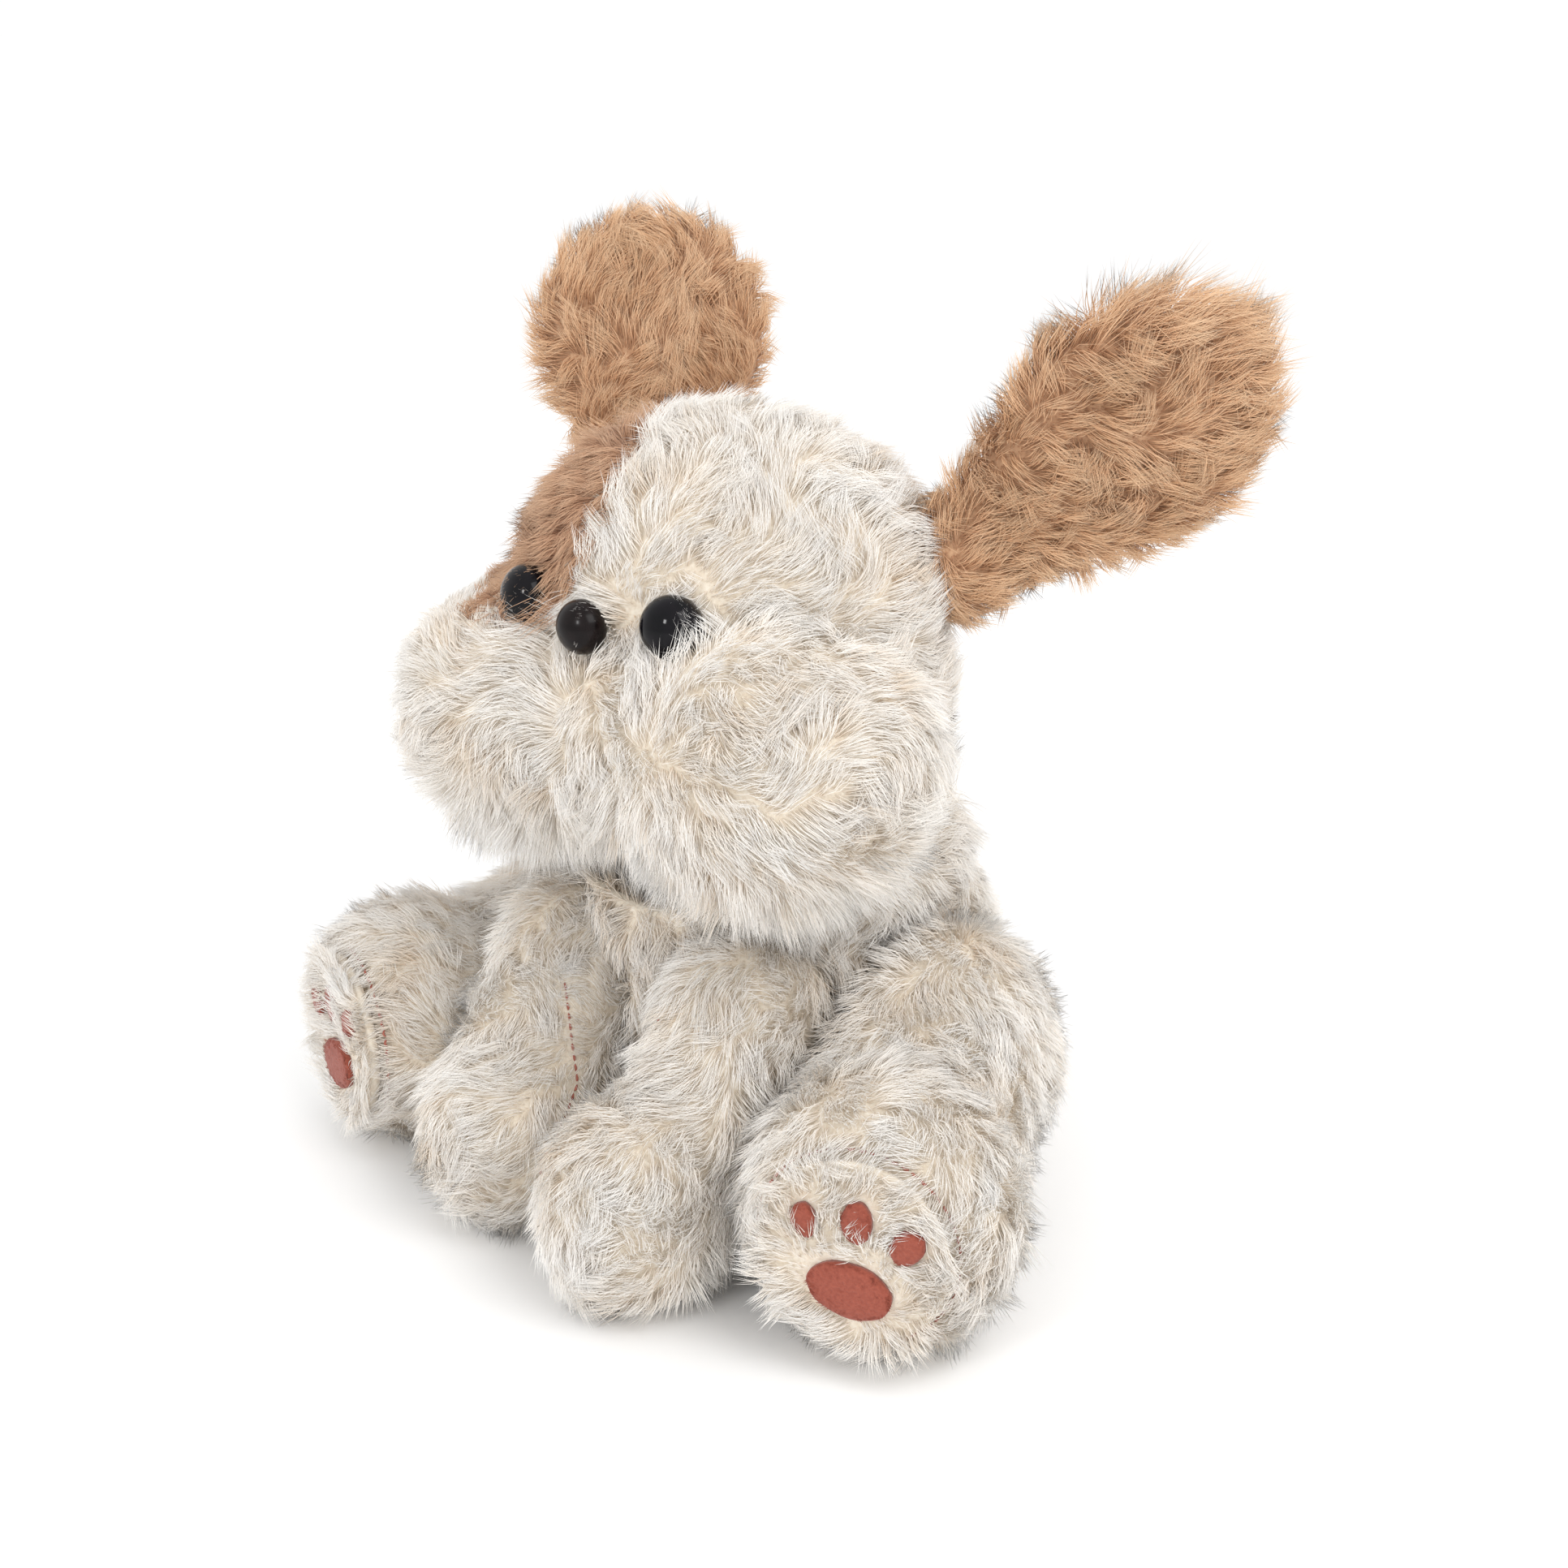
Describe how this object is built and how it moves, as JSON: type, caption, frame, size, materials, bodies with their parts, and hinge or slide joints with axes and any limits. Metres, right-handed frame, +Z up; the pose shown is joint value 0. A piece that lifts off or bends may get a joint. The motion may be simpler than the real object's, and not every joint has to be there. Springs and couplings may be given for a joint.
{
  "type": "plush dog",
  "caption": "Seated plush dog with a soft stuffed body, a turning and nodding head, raised floppy ears, sewn limbs with felt sole pads, a short tail, bead eyes and a bead nose.",
  "frame": {"origin": "middle of the bounding box seen from above, on the surface the dog sits on", "axes": "+Z up, the dog faces -Y, +X towards its left side"},
  "size_m": [0.22, 0.187, 0.2358],
  "materials": {
    "cream_fabric": "long cream pile",
    "tan_fabric": "long tan pile",
    "patch_fabric": "long brown-tan pile",
    "filling": "loose polyester fibre",
    "pellets": "woven bag of plastic pellets",
    "bead": "polished",
    "pad_felt": "short flocked felt",
    "thread": "twisted sewing thread",
    "washer_plastic": "moulded"
  },
  "bodies": {
    "torso": {"torso_skin": "cream_fabric", "torso_stuffing": "filling", "pellet_bag": "pellets", "back_closing_seam": "thread"},
    "neck": {"neck_roll": "filling"},
    "head": {"head_skin": "cream_fabric", "eye_patch": "patch_fabric", "head_stuffing": "filling", "left_cheek_skin": "cream_fabric", "left_cheek_stuffing": "filling", "right_cheek_skin": "cream_fabric", "right_cheek_stuffing": "filling", "left_eye": "bead", "left_eye_washer": "washer_plastic", "right_eye": "bead", "right_eye_washer": "washer_plastic", "nose": "bead", "nose_washer": "washer_plastic"},
    "tail": {"tail_skin": "tan_fabric", "tail_stuffing": "filling"},
    "left_ear": {"left_ear_upper_panel": "tan_fabric", "left_ear_lower_panel": "tan_fabric", "left_ear_batting": "filling"},
    "left_front_leg": {"left_front_leg_skin": "cream_fabric", "left_front_leg_stuffing": "filling", "left_front_leg_seam": "thread"},
    "left_hind_leg": {"left_hind_leg_skin": "cream_fabric", "left_hind_leg_stuffing": "filling", "left_sole": "cream_fabric", "left_sole_seam": "thread", "left_main_pad": "pad_felt", "left_inner_toe_pad": "pad_felt", "left_middle_toe_pad": "pad_felt", "left_outer_toe_pad": "pad_felt"},
    "right_ear": {"right_ear_upper_panel": "tan_fabric", "right_ear_lower_panel": "tan_fabric", "right_ear_batting": "filling"},
    "right_front_leg": {"right_front_leg_skin": "cream_fabric", "right_front_leg_stuffing": "filling", "right_front_leg_seam": "thread"},
    "right_hind_leg": {"right_hind_leg_skin": "cream_fabric", "right_hind_leg_stuffing": "filling", "right_sole": "cream_fabric", "right_sole_seam": "thread", "right_main_pad": "pad_felt", "right_inner_toe_pad": "pad_felt", "right_middle_toe_pad": "pad_felt", "right_outer_toe_pad": "pad_felt"}
  },
  "joints": [
    {"name": "head_turn", "type": "hinge", "parent": "torso", "child": "neck", "pos_m": [0, -0.0045, 0.138], "axis": [0, 0, 1], "range_deg": [-22, 22], "stiffness_Nm_per_rad": 0.6},
    {"name": "head_nod", "type": "hinge", "parent": "neck", "child": "head", "pos_m": [0, -0.0045, 0.138], "axis": [1, 0, 0], "range_deg": [-12, 8], "stiffness_Nm_per_rad": 0.9},
    {"name": "left_ear_flap", "type": "hinge", "parent": "head", "child": "left_ear", "pos_m": [0.048, 0.0175, 0.165], "axis": [-0.5547, 0.8321, 0], "range_deg": [-15, 24], "stiffness_Nm_per_rad": 0.25},
    {"name": "right_ear_flap", "type": "hinge", "parent": "head", "child": "right_ear", "pos_m": [-0.048, 0.0175, 0.165], "axis": [-0.7442, -0.6679, 0], "range_deg": [-15, 24], "stiffness_Nm_per_rad": 0.25},
    {"name": "left_front_leg_swing", "type": "hinge", "parent": "torso", "child": "left_front_leg", "pos_m": [0.028, -0.0325, 0.06], "axis": [-1, 0, 0], "range_deg": [0, 35], "stiffness_Nm_per_rad": 0.4},
    {"name": "right_front_leg_swing", "type": "hinge", "parent": "torso", "child": "right_front_leg", "pos_m": [-0.028, -0.0325, 0.06], "axis": [-1, 0, 0], "range_deg": [0, 35], "stiffness_Nm_per_rad": 0.4},
    {"name": "left_hind_leg_lift", "type": "hinge", "parent": "torso", "child": "left_hind_leg", "pos_m": [0.05, 0.0115, 0.038], "axis": [-1, 0, 0], "range_deg": [0, 20], "stiffness_Nm_per_rad": 0.8},
    {"name": "right_hind_leg_lift", "type": "hinge", "parent": "torso", "child": "right_hind_leg", "pos_m": [-0.05, 0.0115, 0.038], "axis": [-1, 0, 0], "range_deg": [0, 20], "stiffness_Nm_per_rad": 0.8},
    {"name": "tail_wag", "type": "hinge", "parent": "torso", "child": "tail", "pos_m": [0, 0.0605, 0.03], "axis": [0, 0, 1], "range_deg": [-25, 25], "stiffness_Nm_per_rad": 0.05}
  ]
}
